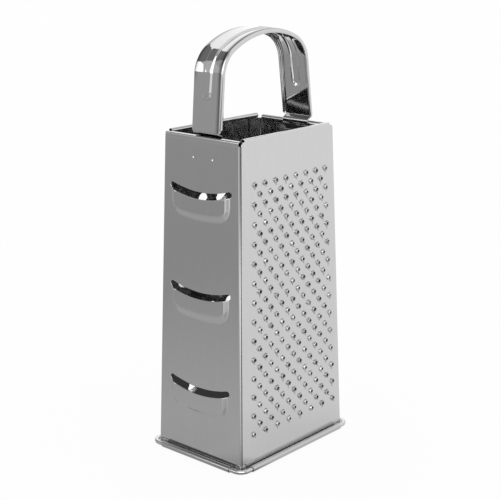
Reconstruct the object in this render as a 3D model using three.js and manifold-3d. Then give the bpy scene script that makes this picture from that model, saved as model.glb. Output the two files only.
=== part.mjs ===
// Four-sided kitchen grater in stamped sheet steel: two wide grating panels, two narrow panels whose bent
// flanges are lapped inside them, a wire ring rolled into the base hems and a channel-section strap handle.
// Millimetres, +Z up. The origin is the middle of the base, on the surface that the grater stands on.
import * as THREE from 'three';
import { mergeVertices } from 'three/addons/utils/BufferGeometryUtils.js';
import Module from 'manifold-3d';

const wasm = await Module();
wasm.setup();

// Body: a box that widens towards its base
const bodyHeight = 170;
const topHalfX = 25.63;
const topHalfY = 36.31;
const baseHalfX = 29.69;
const baseHalfY = 41.48;
const sheet = 0.4;
const seamGap = 0.12;
const bury = 0.4;

// Seams: the narrow panels turn a corner and run on as flanges inside the wide panels
const bendRadius = 0.8;
const bendSteps = 3;
const flangeLength = 9;
const lapSetback = 1.2;
const cornerTop = 166.8;
const cornerBottom = 1.8;

// Rolled top edges, which stop short of the corners
const wideCurlRadius = 1.2;
const narrowCurlRadius = 1.5;
const curlSweep = 290;
const curlSteps = 8;
const wideCurlHalf = 32.8;
const narrowCurlHalf = 24.6;
const narrowDrop = 0.85;

// Wired base hems, and the wire that shows at the corners
const hemRadius = 1.6;
const hemSides = 12;
const hemTurns = 7;
const wireRadius = 1.15;
const wireOffset = 2.27;
const wireCornerRadius = 5;
const wireCornerSteps = 3;
const flareTop = 4.6;
const flareFillet = 0.4;
const wideHemHalf = 36.1;
const narrowHemHalf = 24;
const notchWidth = 0.8;
const notchHeight = 0.9;

// Fine grating panel: round burrs in staggered rows that fan out towards the base
const fineRows = 27;
const fineRowTop = 147.2;
const fineRowBottom = 18.7;
const finePitchTop = 7.86;
const finePitchBottom = 9.27;
const fineLongRow = 8;
const fineShift = 1.0;
const burr = { sides: 5, base: 1.6, rim: 1.12, bore: 0.92, height: 0.95, turn: 7 };

// Coarse shredding panel: round holes with a raised cutting lip under each
const coarseRows = 7;
const coarseRowTop = 149.35;
const coarseRowPitch = 20.68;
const coarsePitch = 14.38;
const coarseLongRow = 4;
const coarseShift = 0.93;
const shredder = { sides: 12, base: 4.7, rim: 3.4, bore: 4.2, lift: 2.0, rise: 0.1 };

// Zesting panel: small square burrs with four points
const zestRows = 12;
const zestRowTop = 143;
const zestRowBottom = 23;
const zestPitch = 7.6;
const zestLongRow = 6;
const zester = { sides: 4, base: 1.5, rim: 0.75, bore: 0.65, height: 1.1, turn: 4 };

// Slicing panel: three crescent slots, each with a blade raised on a pressed pocket
const slotLevels = [141.2, 89.7, 38.8];
const slotHalf = 20.9;
const slotSag = 3.3;
const slotGap = 3.1;
const slotEndRadius = 1.5;
const pocketHalf = 20.2;
const pocketDepth = 14.9;
const pocketSag = 2.2;
const pocketCorner = 7;
const bladeLift = 1.6;
const bladeGrind = 0.5;
const flankRamp = 3.6;
const footRamp = 4.6;
const slotSteps = 8;
const cutDepth = 12;

// Strap handle: a channel with a stiffening rib, bent to an arch, with a tongue down inside each narrow panel
const handleTop = 219.4;
const handleShift = 2.75;
const strapHalf = 9.55;
const strapSheet = 0.7;
const strapDepth = 2.25;
const strapBend = 1.2;
const crownRadius = 52.7;
const crownShift = 1.25;
const shoulderRadius = 17;
const frontBend = { side: -1, crownAngle: 30.8, legLean: 4.6 };
const rearBend = { side: 1, crownAngle: 23.5, legLean: 7.2 };
const archStep = 12;
const ribHalf = 3.1;
const ribFlat = 2.1;
const ribHeight = 0.8;
const ribEnd = 187.6;
const ribEndLength = 3;
const foldLevel = 170.9;
const footTaper = 1.1;
const jogReach = 33.1;
const jogTop = 169.4;
const jogBottom = 167;
const tongueTop = 163.6;
const tongueBottom = 152;
const tongueHalf = 8.3;
const tongueTip = 2;
const weldShift = 1.55;
const weldSpacing = 13;
const weldLevel = 158.9;
const weld = { radius: 1.4, depth: 0.2, sides: 7 };

// Half widths of the body at height z, to the outer faces
function halfX(z) {
  return topHalfX + (baseHalfX - topHalfX) * (1 - z / bodyHeight);
}

function halfY(z) {
  return topHalfY + (baseHalfY - topHalfY) * (1 - z / bodyHeight);
}

function mix(from, to, share) {
  return from + (to - from) * share;
}

function smooth(value) {
  const t = Math.min(Math.max(value, 0), 1);
  return t * t * (3 - 2 * t);
}

function polar(radius, degrees) {
  const angle = THREE.MathUtils.degToRad(degrees);
  return [radius * Math.cos(angle), radius * Math.sin(angle)];
}

// Triangles listed as index triples over a list of points
function solid(points, triangles) {
  const geometry = new THREE.BufferGeometry();
  geometry.setAttribute('position', new THREE.Float32BufferAttribute(points.flat(), 3));
  geometry.setIndex(triangles.flat());
  return geometry;
}

function toManifold(source) {
  const geometry = source.clone();
  geometry.deleteAttribute('normal');
  geometry.deleteAttribute('uv');
  const merged = mergeVertices(geometry, 1e-5);
  const vertProperties = new Float32Array(merged.attributes.position.array);
  const triVerts = new Uint32Array(merged.index.array);
  return new wasm.Manifold(new wasm.Mesh({ numProp: 3, vertProperties, triVerts }));
}

function toGeometry(manifold) {
  const mesh = manifold.getMesh();
  const geometry = new THREE.BufferGeometry();
  geometry.setAttribute('position', new THREE.BufferAttribute(mesh.vertProperties, 3));
  geometry.setIndex(new THREE.BufferAttribute(mesh.triVerts, 1));
  geometry.computeVertexNormals();
  return geometry;
}

function fuse(first, ...others) {
  return others.reduce((whole, other) => whole.add(toManifold(other)), toManifold(first));
}

// Flat triangles of an anticlockwise outline with holes, all turned the same way as the outline
function triangulate(outline, holes) {
  const loops = [outline, ...holes].map((loop) => loop.map(([a, z]) => new THREE.Vector2(a, z)));
  const points = loops.flat();
  const triangles = THREE.ShapeUtils.triangulateShape(loops[0], loops.slice(1));
  const areaOf = (corners) => THREE.ShapeUtils.area(corners.map((i) => points[i]));
  const area = triangles.reduce((sum, corners) => sum + areaOf(corners), 0);
  return area > 0 ? triangles : triangles.map(([i, j, k]) => [i, k, j]);
}

// Two triangles for each pair of neighbours on two closed rings of the same length
function band(first, second, count) {
  const triangles = [];
  for (let i = 0; i < count; i += 1) {
    const next = (i + 1) % count;
    triangles.push([first + i, first + next, second + next]);
    triangles.push([first + i, second + next, second + i]);
  }
  return triangles;
}

// A sheet facing +X, drawn as (across, height), with punches that are chains of rings (across, height, lift)
// running from the outer face to the inner face
function punchedSheet(outline, punches, reach) {
  const points = [];
  const triangles = [];
  const place = ([a, z, lift]) => points.push([reach(z) + lift, a, z]);
  const outlineCount = outline.length;
  const starts = { outer: 0, inner: 0 };
  for (const face of ['outer', 'inner']) {
    const lift = face === 'outer' ? 0 : -sheet;
    starts[face] = points.length;
    outline.forEach(([a, z]) => place([a, z, lift]));
    const rings = punches.map((rowOfRings) => (face === 'outer' ? rowOfRings[0] : rowOfRings.at(-1)));
    rings.forEach((ring) => ring.forEach(place));
    const offset = starts[face];
    for (const corners of triangulate(outline, rings)) {
      const [i, j, k] = corners.map((corner) => offset + corner);
      triangles.push(face === 'outer' ? [i, j, k] : [i, k, j]);
    }
  }
  triangles.push(...band(starts.inner, starts.outer, outlineCount));
  let used = outlineCount;
  for (const rings of punches) {
    const count = rings[0].length;
    let previous = starts.outer + used;
    for (const ring of rings.slice(1, -1)) {
      const current = points.length;
      ring.forEach(place);
      triangles.push(...band(previous, current, count));
      previous = current;
    }
    triangles.push(...band(previous, starts.inner + used, count));
    used += count;
  }
  return solid(points, triangles);
}

// Profile (reach, height) drawn in the XZ plane and run along Y over both halves of a span
function extrudeAcross(profile, half) {
  const shape = new THREE.Shape(profile.map(([q, z]) => new THREE.Vector2(q, z)));
  const geometry = new THREE.ExtrudeGeometry(shape, { depth: 2 * half, bevelEnabled: false });
  return geometry.rotateX(Math.PI / 2).translate(0, half, 0);
}

// Top edge rolled inwards on itself
function topCurl(reach, top, radius, legBottom, half) {
  const level = top - radius;
  const centre = reach(level) - radius;
  const outside = [[reach(legBottom), legBottom]];
  const inside = [[reach(legBottom) - sheet, legBottom]];
  for (let i = 0; i <= curlSteps; i += 1) {
    const degrees = (i / curlSteps) * curlSweep;
    const [outQ, outZ] = polar(radius, degrees);
    const [inQ, inZ] = polar(radius - sheet, degrees);
    outside.push([centre + outQ, level + outZ]);
    inside.push([centre + inQ, level + inZ]);
  }
  return extrudeAcross([...outside, ...inside.reverse()], half);
}

// Base edge flared outwards over the wire and rolled under it, with a flat facet on the floor
function baseHem(reach, half) {
  const step = 360 / hemSides;
  const floorFacet = Math.cos(Math.PI / hemSides);
  const level = hemRadius * floorFacet;
  const centre = reach(0) + wireOffset;
  const start = 90 - step / 2;
  const lip = reach(flareTop);
  const turn = [lip + flareFillet * 0.3, flareTop - flareFillet * 0.7];
  const outside = [[lip, flareTop + bury], [lip, flareTop], turn];
  const inside = [[lip - sheet, flareTop + bury], [lip - sheet, flareTop]];
  inside.push([turn[0] - sheet * Math.SQRT1_2, turn[1] - sheet * Math.SQRT1_2]);
  for (let i = 0; i <= hemTurns; i += 1) {
    const [outQ, outZ] = polar(hemRadius, start - i * step);
    const [inQ, inZ] = polar(hemRadius - sheet, start - i * step);
    outside.push([centre + outQ, level + outZ]);
    inside.push([centre + inQ, level + inZ]);
  }
  return extrudeAcross([...outside, ...inside.reverse()], half);
}

// Closed wire ring, a rounded rectangle in plan, with its facets parallel to those of the hems
function baseWire() {
  const centreX = halfX(0) + wireOffset;
  const centreY = halfY(0) + wireOffset;
  const level = hemRadius * Math.cos(Math.PI / hemSides);
  const points = [];
  const triangles = [];
  let stations = 0;
  for (let corner = 0; corner < 4; corner += 1) {
    const signX = corner === 0 || corner === 3 ? 1 : -1;
    const signY = corner < 2 ? 1 : -1;
    for (let i = 0; i <= wireCornerSteps; i += 1) {
      const [outX, outY] = polar(1, 90 * (corner + i / wireCornerSteps));
      for (let side = 0; side < hemSides; side += 1) {
        const [out, rise] = polar(wireRadius, (360 * (side + 0.5)) / hemSides);
        const spread = wireCornerRadius + out;
        const x = signX * (centreX - wireCornerRadius) + spread * outX;
        const y = signY * (centreY - wireCornerRadius) + spread * outY;
        points.push([x, y, level + rise]);
      }
      stations += 1;
    }
  }
  for (let station = 0; station < stations; station += 1) {
    const next = (station + 1) % stations;
    triangles.push(...band(next * hemSides, station * hemSides, hemSides));
  }
  return solid(points, triangles);
}

// Staggered rows of punch centres: long rows and rows one shorter take turns
function staggeredRows(rows, levelOf, pitchOf, longRow, firstShort = 0) {
  const centres = [];
  for (let row = 0; row < rows; row += 1) {
    const count = longRow - ((row + firstShort) % 2);
    const level = levelOf(row);
    for (let i = 0; i < count; i += 1) {
      centres.push([(i - (count - 1) / 2) * pitchOf(row), level]);
    }
  }
  return centres;
}

function ring(a, z, radius, sides, lift, turn = 0) {
  const points = [];
  for (let i = 0; i < sides; i += 1) {
    const [across, up] = polar(radius, (360 * (i + 0.5)) / sides + turn);
    points.push([a + across, z + up, lift]);
  }
  return points;
}

// A burr punched outwards: cone to a sharp rim, then the bore. Each is turned a little from the last.
function burrRings([a, z], index, { sides, base, rim, bore, height, turn }) {
  const angle = turn * (index % sides);
  const levels = [[base, 0], [rim, height], [bore, -sheet]];
  return levels.map(([radius, lift]) => ring(a, z, radius, sides, lift, angle));
}

// A shredding hole: its lower rim is raised into a lip whose edge faces up the panel
function shredderRings([a, z], { sides, base, rim, bore, lift, rise }) {
  const edge = ring(a, z + rise, rim, sides, 0).map(([across, up]) => {
    const drop = Math.max(0, (z + rise - up) / rim);
    return [across, up + drop * rise, lift * drop ** 0.8];
  });
  return [ring(a, z, base, sides, 0), edge, ring(a, z, bore, sides, -sheet)];
}

// Outline of a wide panel's flat sheet, with relief notches where the base flare and the top curl begin
function wideOutline() {
  const half = [
    [wideHemHalf, flareTop],
    [wideHemHalf, flareTop + notchHeight],
    [wideHemHalf + notchWidth, flareTop + notchHeight],
    [wideHemHalf + notchWidth, cornerBottom],
    [halfY(cornerBottom) - lapSetback, cornerBottom],
    [halfY(cornerTop) - lapSetback, cornerTop],
    [wideCurlHalf, cornerTop],
    [wideCurlHalf, bodyHeight - wideCurlRadius],
  ];
  return [...half, ...half.map(([a, z]) => [-a, z]).reverse()];
}

function widePanel(punches) {
  const flat = punchedSheet(wideOutline(), punches, halfX);
  const legBottom = bodyHeight - wideCurlRadius - bury;
  const curl = topCurl(halfX, bodyHeight, wideCurlRadius, legBottom, wideCurlHalf);
  return fuse(flat, curl, baseHem(halfX, wideHemHalf));
}

// Plan section of a narrow panel at height z: its face, two rounded bends and two flanges
function bentSection(z) {
  const face = halfY(z);
  const side = halfX(z) - sheet - seamGap;
  const path = (inset) => {
    const half = [[face - flangeLength, side - inset]];
    for (let i = 0; i <= bendSteps; i += 1) {
      const [out, across] = polar(bendRadius - inset, 90 * (1 - i / bendSteps));
      half.push([face - bendRadius + out, side - bendRadius + across]);
    }
    return [...half, ...half.map(([q, a]) => [q, -a]).reverse()];
  };
  return [...path(sheet), ...path(0).reverse()];
}

function bentSheet() {
  const levels = [cornerBottom, cornerTop];
  const sections = levels.map(bentSection);
  const count = sections[0].length;
  const points = sections.flatMap((section, i) => section.map(([q, a]) => [q, a, levels[i]]));
  const triangles = band(0, count, count);
  for (const [i, j, k] of triangulate(sections[0], [])) {
    triangles.push([i, k, j]);
    triangles.push([count + i, count + j, count + k]);
  }
  return solid(points, triangles);
}

// Cutter for the dimple of a spot weld, which holds the handle's tongue behind the panel
function weldDimple(a) {
  const { radius, depth, sides } = weld;
  const clear = sheet;
  const hollow = [[0, -depth], [radius * 0.55, -depth * 0.7], [radius, 0]];
  const profile = [...hollow, [radius, clear], [0, clear]].map(([r, h]) => new THREE.Vector2(r, h));
  const cutter = new THREE.LatheGeometry(profile, sides);
  return cutter.rotateZ(-Math.PI / 2).translate(halfY(weldLevel), a, weldLevel);
}

// A narrow panel facing +X. The handle is welded to it off centre, on the side given by handleSide.
function narrowPanel(handleSide) {
  const top = bodyHeight - narrowDrop;
  const curl = topCurl(halfY, top, narrowCurlRadius, cornerTop - bury, narrowCurlHalf);
  const body = fuse(bentSheet(), curl, baseHem(halfY, narrowHemHalf));
  const dimples = [-0.5, 0.5].map((share) => weldDimple(handleSide * weldShift + share * weldSpacing));
  return dimples.reduce((panel, dimple) => panel.subtract(toManifold(dimple)), body);
}

// Curves of a slicing slot, measured from the middle of its upper edge
function slotUpper(a) {
  return slotSag * (a / pocketHalf) ** 2;
}

function bladeEdge(a) {
  return slotUpper(a) - slotGap;
}

function pocketFoot(a) {
  const into = Math.max(0, Math.abs(a) - (pocketHalf - pocketCorner));
  const corner = pocketCorner - Math.sqrt(Math.max(0, pocketCorner ** 2 - into ** 2));
  return pocketSag * (a / pocketHalf) ** 2 - pocketDepth + corner;
}

// Opening cut for a slot and its pocket together
function slotOutline(level) {
  const points = [];
  const upperHalf = slotHalf - slotEndRadius;
  for (let i = 0; i <= slotSteps; i += 1) {
    const a = mix(upperHalf, -upperHalf, i / slotSteps);
    points.push([a, level + slotUpper(a)]);
  }
  const foot = [];
  for (let i = 0; i <= slotSteps; i += 1) {
    const a = pocketHalf * Math.sin((Math.PI / 2) * mix(-1, 1, i / slotSteps));
    foot.push([a, level + pocketFoot(a)]);
  }
  const endTop = [slotHalf, level + slotUpper(slotHalf) - slotEndRadius];
  const endFoot = [pocketHalf, level + bladeEdge(pocketHalf)];
  points.push([-endTop[0], endTop[1]], [-endFoot[0], endFoot[1]]);
  return [...points, ...foot, endFoot, endTop];
}

function slotCutter(level) {
  const shape = new THREE.Shape(slotOutline(level).map(([a, z]) => new THREE.Vector2(a, z)));
  const geometry = new THREE.ExtrudeGeometry(shape, { depth: cutDepth, bevelEnabled: false });
  const axes = [new THREE.Vector3(0, 1, 0), new THREE.Vector3(0, 0, 1), new THREE.Vector3(1, 0, 0)];
  geometry.applyMatrix4(new THREE.Matrix4().makeBasis(...axes));
  return geometry.translate(halfY(level) - cutDepth / 2, 0, 0);
}

// Pressed lip under a slot: a shell that rises from the sheet to a ground blade edge
function slotLip(level) {
  const margin = 0.5;
  const sunk = 0.03;
  const inner = pocketHalf - flankRamp;
  const half = [pocketHalf + margin, pocketHalf, pocketHalf - flankRamp / 2, inner, inner / 2];
  const columns = [...half.map((a) => -a), 0, ...half.reverse()];
  const shares = [0, 0.6, 0.82, 1];
  const rows = shares.length + 1;
  const outer = [];
  const inside = [];
  for (let row = 0; row < rows; row += 1) {
    for (const column of columns) {
      const a = THREE.MathUtils.clamp(column, -pocketHalf, pocketHalf);
      const foot = pocketFoot(a);
      const z = row < shares.length ? mix(bladeEdge(a), foot, shares[row]) : foot - margin;
      const rise = smooth((pocketHalf - Math.abs(column)) / flankRamp) * smooth((z - foot) / footRamp);
      const lift = rise > 0 ? rise * bladeLift : -sunk;
      const back = rise > 0 ? lift - sheet : sunk - sheet;
      const grind = row === 0 ? bladeGrind : 0;
      const buried = row === 0 && Math.abs(column) > pocketHalf ? margin : 0;
      const height = level + z - buried;
      outer.push([halfY(height) + lift, column, height]);
      inside.push([halfY(height) + back, column, height - grind]);
    }
  }
  return shell(outer, inside, rows, columns.length);
}

// Closed shell between two grids of points that run in rows from top to bottom, left to right
function shell(outer, inside, rows, columns) {
  const triangles = [];
  const shift = outer.length;
  for (let row = 0; row < rows - 1; row += 1) {
    for (let column = 0; column < columns - 1; column += 1) {
      const a = row * columns + column;
      const b = a + columns;
      triangles.push([a, b, b + 1], [a, b + 1, a + 1]);
      triangles.push([shift + a, shift + b + 1, shift + b], [shift + a, shift + a + 1, shift + b + 1]);
    }
  }
  const rim = [];
  for (let row = 0; row < rows - 1; row += 1) rim.push(row * columns);
  for (let column = 0; column < columns - 1; column += 1) rim.push((rows - 1) * columns + column);
  for (let row = rows - 1; row > 0; row -= 1) rim.push(row * columns + columns - 1);
  for (let column = columns - 1; column > 0; column -= 1) rim.push(column);
  rim.forEach((a, i) => {
    const b = rim[(i + 1) % rim.length];
    triangles.push([a, shift + a, shift + b], [a, shift + b, b]);
  });
  return solid([...outer, ...inside], triangles);
}

function slicerPanel() {
  let panel = narrowPanel(1);
  for (const level of slotLevels) {
    panel = panel.subtract(toManifold(slotCutter(level))).add(toManifold(slotLip(level)));
  }
  return toGeometry(panel);
}

// Square burrs are opened in the narrow panel by fusing a punched patch into a matching window
function zesterPanel() {
  const pitch = () => zestPitch;
  const levelOf = (row) => mix(zestRowTop, zestRowBottom, row / (zestRows - 1));
  const centres = staggeredRows(zestRows, levelOf, pitch, zestLongRow);
  const edge = (zestLongRow * zestPitch) / 2;
  const margin = 4;
  const low = zestRowBottom - margin;
  const high = zestRowTop + margin;
  const corners = [[-edge, low], [edge, low], [edge, high], [-edge, high]];
  const patch = punchedSheet(corners, centres.map((centre, i) => burrRings(centre, i, zester)), halfY);
  const window = new THREE.BoxGeometry(cutDepth, 2 * edge, high - low);
  window.translate(halfY((low + high) / 2), 0, (low + high) / 2);
  return toGeometry(narrowPanel(-1).subtract(toManifold(window)).add(toManifold(patch)));
}

function finePanel() {
  const share = (row) => row / (fineRows - 1);
  const levelOf = (row) => mix(fineRowTop, fineRowBottom, share(row));
  const pitchOf = (row) => mix(finePitchTop, finePitchBottom, share(row));
  const rows = staggeredRows(fineRows, levelOf, pitchOf, fineLongRow);
  const centres = rows.map(([a, z]) => [a + fineShift, z]);
  return toGeometry(widePanel(centres.map((centre, i) => burrRings(centre, i, burr))));
}

function coarsePanel() {
  const levelOf = (row) => coarseRowTop - row * coarseRowPitch;
  const rows = staggeredRows(coarseRows, levelOf, () => coarsePitch, coarseLongRow, 1);
  const centres = rows.map(([a, z]) => [a + coarseShift, z]);
  return toGeometry(widePanel(centres.map((centre) => shredderRings(centre, shredder))));
}

// Half of the handle's outer line, from a tongue's tip up to the crown, as stations (reach, height, section).
// The arch is bent by hand, so its crown lies a little to the rear and its two legs lean differently.
function handleHalf({ side, crownAngle, legLean }) {
  const tongueReach = (z) => halfY(z) - sheet - seamGap;
  const flat = { half: tongueHalf, depth: strapSheet + 0.05, bend: 0.05, rib: 0 };
  const web = { half: strapHalf, depth: strapDepth, bend: strapBend, rib: 0 };
  const ribbed = { ...web, rib: 1 };
  const tip = { ...flat, half: tongueHalf - tongueTip };
  const crownZ = handleTop - crownRadius;
  const [up, out] = polar(crownRadius - shoulderRadius, crownAngle);
  const [legOut, legUp] = polar(shoulderRadius, legLean);
  const crownReach = side * crownShift;
  const shoulder = { reach: crownReach + out, height: crownZ + up };
  const legTop = { reach: shoulder.reach + legOut, height: shoulder.height + legUp };
  const legReach = (z) => legTop.reach + (legTop.height - z) * Math.tan(THREE.MathUtils.degToRad(legLean));
  const stations = [
    [tongueReach(tongueBottom), tongueBottom, tip],
    [tongueReach(tongueBottom + tongueTip), tongueBottom + tongueTip, flat],
    [tongueReach(tongueTop), tongueTop, flat],
    [jogReach, jogBottom, flat],
    [jogReach, jogTop, flat],
    [legReach(foldLevel), foldLevel, { ...flat, half: strapHalf - 1 }],
    [legReach(foldLevel + footTaper), foldLevel + footTaper, web],
    [legReach(ribEnd), ribEnd, web],
    [legReach(ribEnd + ribEndLength), ribEnd + ribEndLength, ribbed],
  ];
  const shoulderTurn = 90 - legLean - crownAngle;
  const shoulderSteps = Math.round(shoulderTurn / archStep);
  for (let i = 0; i <= shoulderSteps; i += 1) {
    const [across, rise] = polar(shoulderRadius, legLean + (shoulderTurn * i) / shoulderSteps);
    stations.push([shoulder.reach + across, shoulder.height + rise, ribbed]);
  }
  const crownSteps = Math.round(crownAngle / archStep);
  for (let i = 1; i <= crownSteps; i += 1) {
    const [rise, across] = polar(crownRadius, crownAngle * (1 - i / crownSteps));
    stations.push([crownReach + across, crownZ + rise, ribbed]);
  }
  return stations;
}

// Channel section of the strap as two lines of the same length, outside and inside, as (across, depth)
function strapSection({ half, depth, bend, rib }) {
  const innerBend = Math.max(bend, strapSheet + 0.02);
  const outside = [
    [-half, -depth],
    [-half, -bend],
    [bend - half, 0],
    [-ribHalf, 0],
    [-ribFlat, rib * ribHeight],
  ];
  const inside = [
    [strapSheet - half, -depth],
    [strapSheet - half, -innerBend],
    [innerBend - half, -strapSheet],
    [-ribHalf, -strapSheet],
    [-ribFlat, rib * ribHeight - strapSheet],
  ];
  const mirrored = (line) => [...line, ...line.map(([x, depthAt]) => [-x, depthAt]).reverse()];
  return [mirrored(outside), mirrored(inside)];
}

// The strap swept along its line: sections stand square to the line and are mitred at its folds
function strapHandle() {
  const placed = (bend) => handleHalf(bend).map(([reach, z, section]) => {
    const at = new THREE.Vector2(bend.side * reach, z);
    return [at, section];
  });
  const line = [...placed(frontBend), ...placed(rearBend).slice(0, -1).reverse()];
  const points = [];
  const triangles = [];
  let count = 0;
  line.forEach(([at, section], i) => {
    const before = line[Math.max(i - 1, 0)][0];
    const after = line[Math.min(i + 1, line.length - 1)][0];
    const into = at.clone().sub(before).normalize();
    const away = after.clone().sub(at).normalize();
    const along = into.clone().add(away).normalize();
    const square = new THREE.Vector2(-along.y, along.x);
    const run = i === 0 ? away : into;
    const mitre = 1 / Math.abs(run.x * along.x + run.y * along.y);
    const [outside, inside] = strapSection(section);
    const loop = [...outside, ...inside.reverse()];
    count = loop.length;
    for (const [x, depth] of loop) {
      const offset = square.clone().multiplyScalar(depth * mitre);
      points.push([handleShift + x, at.x + offset.x, at.y + offset.y]);
    }
    if (i > 0) triangles.push(...band((i - 1) * count, i * count, count));
  });
  const last = (line.length - 1) * count;
  for (let i = 0; i < count / 2 - 1; i += 1) {
    const j = count - 1 - i;
    triangles.push([i, j, j - 1], [i, j - 1, i + 1]);
    triangles.push([last + i, last + j - 1, last + j], [last + i, last + i + 1, last + j - 1]);
  }
  return solid(points, triangles);
}

function steel(color, roughness) {
  return new THREE.MeshStandardMaterial({ color, roughness, metalness: 1 });
}

function piece(name, geometry, material, turn = 0) {
  const mesh = new THREE.Mesh(geometry, material);
  mesh.name = name;
  mesh.rotation.z = turn;
  return mesh;
}

const grater = new THREE.Group();
grater.add(piece('fine_grating_panel', finePanel(), steel(0xc4c5c6, 0.3)));
grater.add(piece('coarse_shredding_panel', coarsePanel(), steel(0xc0c1c2, 0.3), Math.PI));
grater.add(piece('slicing_panel', slicerPanel(), steel(0xb0b1b3, 0.3), -Math.PI / 2));
grater.add(piece('zesting_panel', zesterPanel(), steel(0xb0b1b3, 0.3), Math.PI / 2));
grater.add(piece('base_wire', baseWire(), steel(0xb8b9ba, 0.25)));
grater.add(piece('strap_handle', strapHandle(), steel(0xb4b5b7, 0.2)));

export default grater;
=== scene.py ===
"""Looks for a stamped sheet-steel box grater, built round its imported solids.

Each piece is drawn in millimetres, with the same driving dimensions as the solids, and becomes
a mesh in metres. Panels are drawn facing +X, as (reach out of the body, distance across, height),
and are then turned into place.
"""

import math
import random

import bmesh
import bpy
from mathutils import Matrix, Vector
from mathutils.geometry import delaunay_2d_cdt


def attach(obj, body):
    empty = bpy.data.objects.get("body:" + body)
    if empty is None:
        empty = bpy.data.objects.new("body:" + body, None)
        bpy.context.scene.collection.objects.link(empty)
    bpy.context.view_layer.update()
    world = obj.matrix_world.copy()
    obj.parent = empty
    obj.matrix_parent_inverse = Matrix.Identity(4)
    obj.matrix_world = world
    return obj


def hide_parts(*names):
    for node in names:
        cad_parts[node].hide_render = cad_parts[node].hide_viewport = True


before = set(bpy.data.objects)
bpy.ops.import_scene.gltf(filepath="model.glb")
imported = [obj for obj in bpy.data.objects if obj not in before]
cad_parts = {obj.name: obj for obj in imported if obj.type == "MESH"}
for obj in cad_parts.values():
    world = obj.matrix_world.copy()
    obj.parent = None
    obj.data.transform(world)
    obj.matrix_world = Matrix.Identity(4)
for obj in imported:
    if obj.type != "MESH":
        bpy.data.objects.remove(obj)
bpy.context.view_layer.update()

MM = 0.001

# Body: a box that widens towards its base
BODY_HEIGHT = 170.0
TOP_HALF_X, TOP_HALF_Y = 25.63, 36.31
BASE_HALF_X, BASE_HALF_Y = 29.69, 41.48
SHEET = 0.4
SEAM_GAP = 0.12

# Seams: the narrow panels turn a corner and run on as flanges inside the wide panels
BEND_RADIUS, BEND_STEPS = 0.8, 10
FLANGE_LENGTH = 9.0
LAP_SETBACK = 1.2
CORNER_TOP, CORNER_BOTTOM, CORNER_STEPS = 166.8, 1.2, 8
BEND_MARGIN = 0.4

# Rolled top edges, which stop short of the corners, with angles in degrees round the roll
WIDE_CURL_RADIUS, NARROW_CURL_RADIUS = 1.2, 1.5
CURL_SWEEP, CURL_STEPS = 290.0, 32
WIDE_CURL_HALF, SLICING_CURL_HALF, ZESTING_CURL_HALF = 32.8, 24.6, 21.6
# Each rim: how much its roll is darkened over the top and inner side, and the power that squares its roll,
# where 1 is round
FRONT_RIM, REAR_RIM = (0.0, 0.72), (0.5, 1.0)
RIM_DARKENING_START, RIM_DARKENING_RISE = 30.0, 30.0
RIM_DARKENING_END, RIM_DARKENING_FALL = 160.0, 40.0
# How much lower the narrow panels' rims are
NARROW_DROP = 0.85

# Wired base hems, and the wire that shows at the corners
# Angles are in degrees round the roll, 0 outwards and 90 upwards
HEM_RADIUS, HEM_STEPS = 1.6, 30
HEM_START, HEM_END = 190.0, -135.0
# The solids' hem is a polygon that stands on a facet, so its middle is a little lower than a round one's
HEM_FACET_HALF_ANGLE = 15.0
HEM_LEVEL = HEM_RADIUS * math.cos(math.radians(HEM_FACET_HALF_ANGLE))
WIRE_RADIUS, WIRE_SIDES = 1.15, 28
WIRE_OFFSET = 2.27
WIRE_CORNER_RADIUS, WIRE_CORNER_STEPS = 5.0, 14
WIDE_FLARE_TOP, NARROW_FLARE_TOP, FLARE_FILLET = 1.7, 2.2, 0.4
# Turn from the flat sheet to the roll: shares of the fillet outwards and down, and of the painted shade in
# the crease
FLARE_TURN = ((0.0, 0.0, 0.0), (0.08, 0.4, 0.5), (0.3, 0.75, 1.0))
# Painted shade: in the crease above the roll, over the whole roll to tone down its highlight, and under the
# roll
NARROW_FLARE_SHADE, WIDE_FLARE_SHADE, ROLL_SHADE, UNDER_SHADE = 0.5, 0.5, 0.2, 0.65
NARROW_CREASE, WIDE_CREASE, CREASE_RUN = 75.0, 115.0, 50.0
UNDER_START, UNDER_RUN = -5.0, 40.0
WIDE_HEM_HALF, NARROW_HEM_HALF = 36.1, 24.0
NOTCH_WIDTH, NOTCH_HEIGHT = 0.5, 0.5

# Fine grating panel: round burrs in staggered rows that fan out towards the base
FINE_ROWS, FINE_LONG_ROW = 27, 8
FINE_TOP, FINE_BOTTOM = 146.8, 18.3
FINE_PITCH_TOP, FINE_PITCH_BOTTOM, FINE_SHIFT = 7.86, 9.27, 1.0
BURR_SIDES = 24
# Each ring of a burr: its radius, its lift, its painted shade and its share of the sheet's thickness
BURR_PROFILE = (
    (1.58, 0.0, 0.2, 1.0),
    (1.46, 0.08, 0.7, 1.0),
    (1.37, 0.24, 0.65, 0.9),
    (1.29, 0.46, 0.3, 0.8),
    (1.21, 0.68, 0.0, 0.6),
    (1.13, 0.86, 0.0, 0.5),
    (1.04, 0.97, 0.0, 0.4),
    (0.94, 1.0, 0.2, 0.4),
    (0.86, 0.95, 0.7, 0.4),
    (0.8, 0.82, 0.95, 0.4),
)
BURR_HEIGHT = 1.0
BURR_COLLAR = 1.8
# A burr's painted shade is heavier on one side: by this share, at this angle in degrees
SIDE_SHADE, SIDE_SHADE_ANGLE = 0.25, 40.0
# The dark tail painted below a burr, and what differs from burr to burr
TAIL_REACH, TAIL_DARKENING, TAIL_POWER = 1.8, 0.5, 40
TAIL_ANGLES, TAIL_SPREAD = (270, 312), (0.5, 1.3)
BORE_SPREAD, LEAN_REACH = (0.85, 1.2), 0.3
# How much a torn rim varies in radius, height and painted shade
RAGGED_RADIUS, RAGGED_LIFT, RAGGED_SHADE = 0.03, 0.07, 0.25
FINE_SEED = 7

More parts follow.
